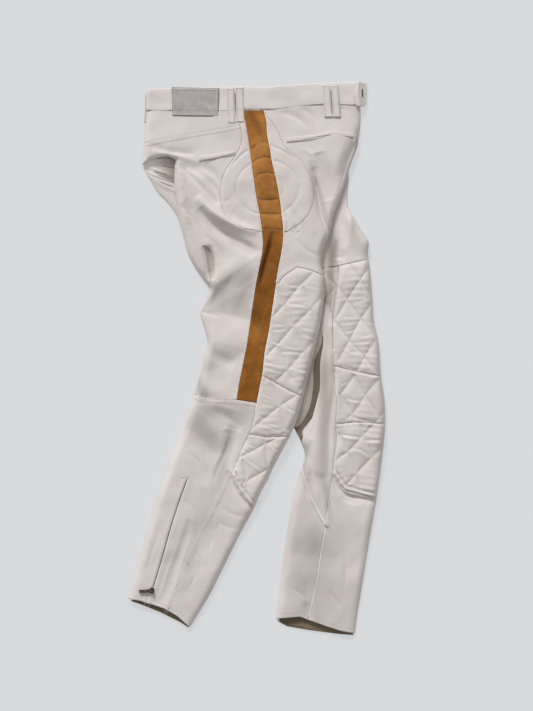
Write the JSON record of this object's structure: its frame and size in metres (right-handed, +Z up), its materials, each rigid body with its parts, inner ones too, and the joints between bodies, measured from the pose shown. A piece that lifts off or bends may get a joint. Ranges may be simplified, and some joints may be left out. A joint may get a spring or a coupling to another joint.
{
  "type": "motocross trousers",
  "caption": "Off-white cotton motocross trousers lying flat, with quilted thighs, knees and shins, padded hips and a tan suede side stripe.",
  "frame": {"origin": "on the surface that the garment lies on, under the middle of its box", "axes": "+Y towards the waist, +X towards the wearer's front as the garment lies, +Z up off the surface"},
  "size_m": [0.5165, 1.1081, 0.0347],
  "materials": {
    "cotton_twill": "matt off-white cotton twill",
    "waistband_twill": "matt off-white cotton twill, folded",
    "tan_suede": "tan suede, napped",
    "grey_leather": "soft grey leather, bare of any mark",
    "zip_metal": "dark antique metal"
  },
  "bodies": {
    "garment": {"right_yoke": "cotton_twill", "right_back": "cotton_twill", "right_front": "cotton_twill", "hip_pad_back": "cotton_twill", "hip_pad_front": "cotton_twill", "right_thigh_quilt": "cotton_twill", "right_knee_quilt": "cotton_twill", "right_shin_quilt": "cotton_twill", "right_lower_back": "cotton_twill", "right_lower_front": "cotton_twill", "left_yoke": "cotton_twill", "left_back": "cotton_twill", "left_front": "cotton_twill", "left_thigh_quilt": "cotton_twill", "left_knee_quilt": "cotton_twill", "left_shin_quilt": "cotton_twill", "left_inner": "cotton_twill", "left_lower_inner": "cotton_twill", "left_lower_front": "cotton_twill", "seat_underside": "cotton_twill", "right_leg_underside": "cotton_twill", "left_leg_underside": "cotton_twill", "back_belt_loop_1": "cotton_twill", "back_belt_loop_2": "cotton_twill", "front_belt_loop_1": "cotton_twill", "front_belt_loop_2": "cotton_twill", "back_pocket_welt": "cotton_twill", "front_pocket_welt": "cotton_twill", "waistband_right": "waistband_twill", "waistband_left": "waistband_twill", "stripe_upper": "tan_suede", "stripe_lower": "tan_suede", "leather_patch": "grey_leather", "closure_tab": "waistband_twill", "ankle_zip_tape": "zip_metal", "zip_slider": "zip_metal"},
    "pull_tab": {"zip_pull_tab": "zip_metal"}
  },
  "joints": [
    {"name": "pull_tab_hinge", "type": "hinge", "parent": "garment", "child": "pull_tab", "pos_m": [-0.208, -0.463, 0.02057], "axis": [-0.0767, 0.9971, 0], "range_deg": [0, 190]}
  ]
}
